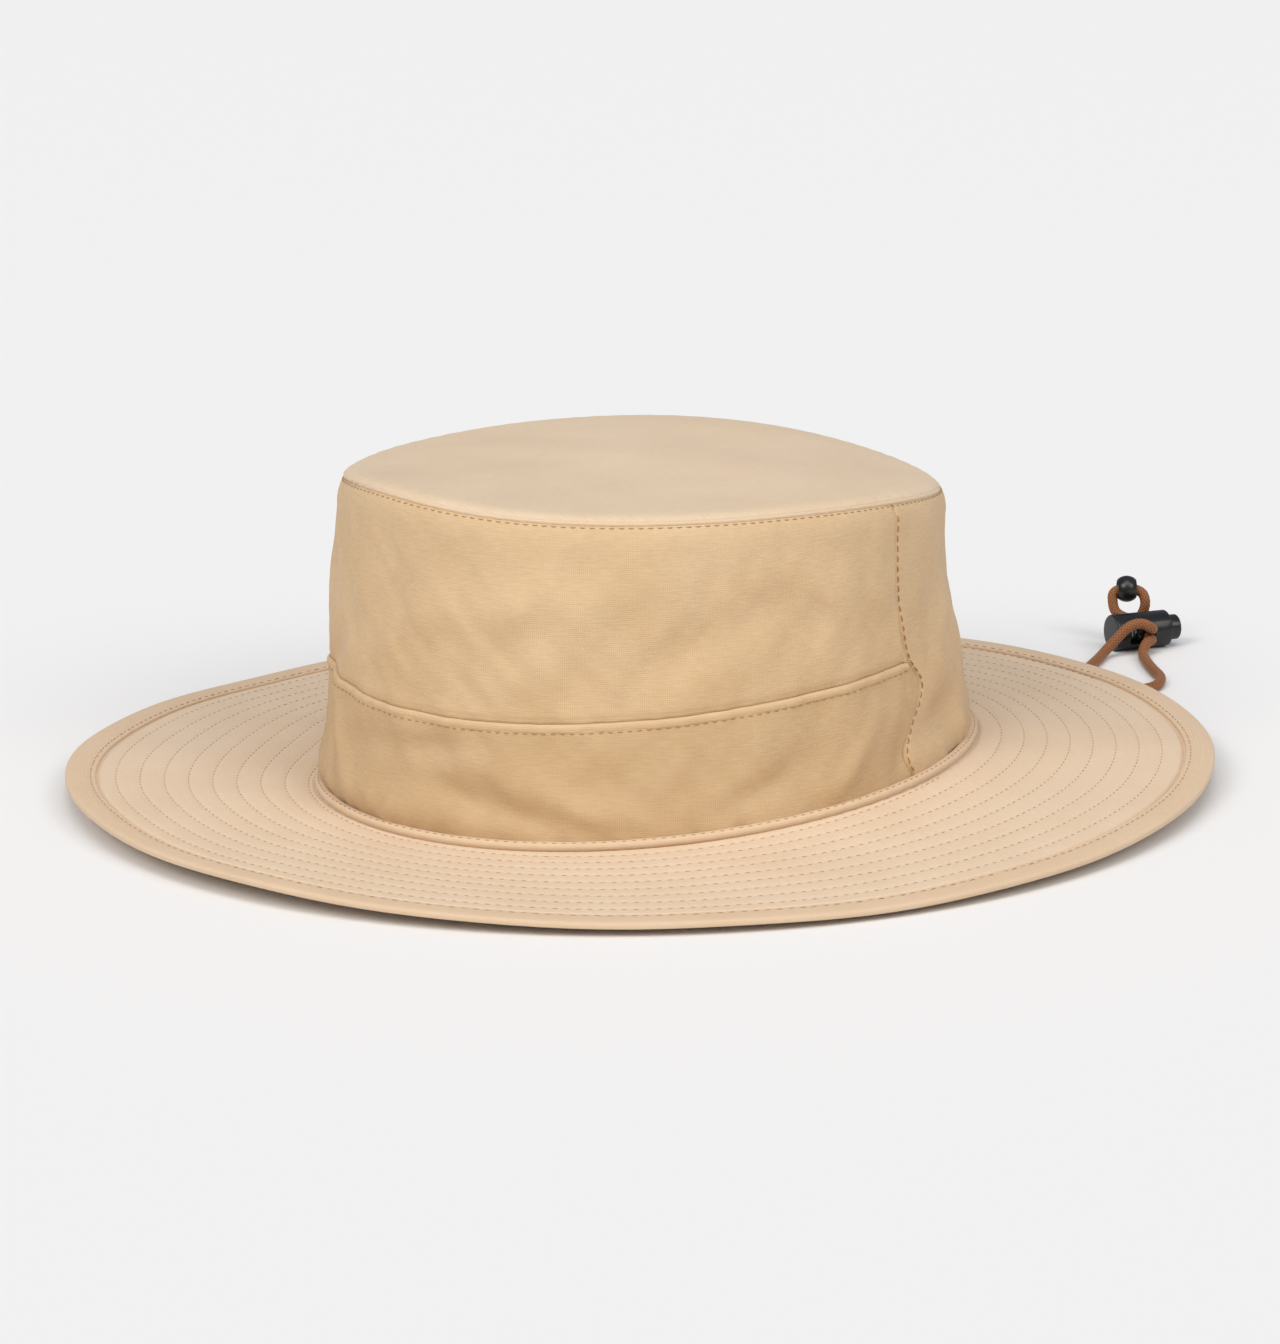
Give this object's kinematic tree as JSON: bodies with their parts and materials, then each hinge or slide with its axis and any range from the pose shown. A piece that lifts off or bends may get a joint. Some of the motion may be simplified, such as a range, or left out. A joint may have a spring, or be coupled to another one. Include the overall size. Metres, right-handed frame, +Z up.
{
  "type": "boonie hat",
  "caption": "Wide-brimmed cloth sun hat standing on its stitched brim, with a sweatband, a braided chin cord, a sprung cord lock and an end bead lying behind it.",
  "frame": {"origin": "on the ground under the middle of the hat", "axes": "+Z up, -Y the wearer's front, +X the wearer's left"},
  "size_m": [0.326, 0.4106, 0.0993],
  "materials": {
    "crown_cloth": "woven",
    "brim_cloth": "woven",
    "binding_cloth": "woven",
    "interlining": "bonded",
    "sweatband_cloth": "knitted",
    "lining_tape": "woven",
    "label_cloth": "satin",
    "thread": "spun",
    "black_plastic": "satin",
    "spring_steel": "drawn",
    "cord_braid": "braided"
  },
  "bodies": {
    "hat": {"crown_top": "crown_cloth", "crown_front_panel": "crown_cloth", "crown_lower_band": "crown_cloth", "crown_back_panel": "crown_cloth", "top_seam_ridge": "crown_cloth", "band_seam_ridge": "crown_cloth", "base_seam_ridge": "crown_cloth", "brim_top_fabric": "brim_cloth", "brim_under_fabric": "brim_cloth", "brim_edge_binding": "binding_cloth", "brim_interlining": "interlining", "sweatband": "sweatband_cloth", "top_seam_tape": "lining_tape", "side_seam_tape_left": "lining_tape", "side_seam_tape_right": "lining_tape", "care_label": "label_cloth", "top_seam_thread": "thread", "band_seam_thread": "thread", "base_seam_thread": "thread", "side_seam_threads": "thread", "brim_edge_thread": "thread", "brim_quilting_thread": "thread", "cord_anchor_left": "lining_tape", "cord_anchor_right": "lining_tape", "lock_barrel": "black_plastic", "lock_spring": "spring_steel", "cord_right_strand": "cord_braid", "cord_left_strand": "cord_braid", "cord_end_loop": "cord_braid"},
    "plunger": {"lock_plunger": "black_plastic"},
    "bead": {"end_bead": "black_plastic"}
  },
  "joints": [
    {"name": "lock_press", "type": "slide", "parent": "hat", "child": "plunger", "axis": [-0.28, -0.96, 0], "range_m": [0, 0.0035], "stiffness_N_per_m": 600, "springref_m": -0.003, "deforming": ["lock_spring"]},
    {"name": "bead_spin", "type": "hinge", "parent": "hat", "child": "bead", "pos_m": [-0.03085, 0.22825, 0.0172], "axis": [0.6051, 0.7962, 0], "continuous": true}
  ]
}
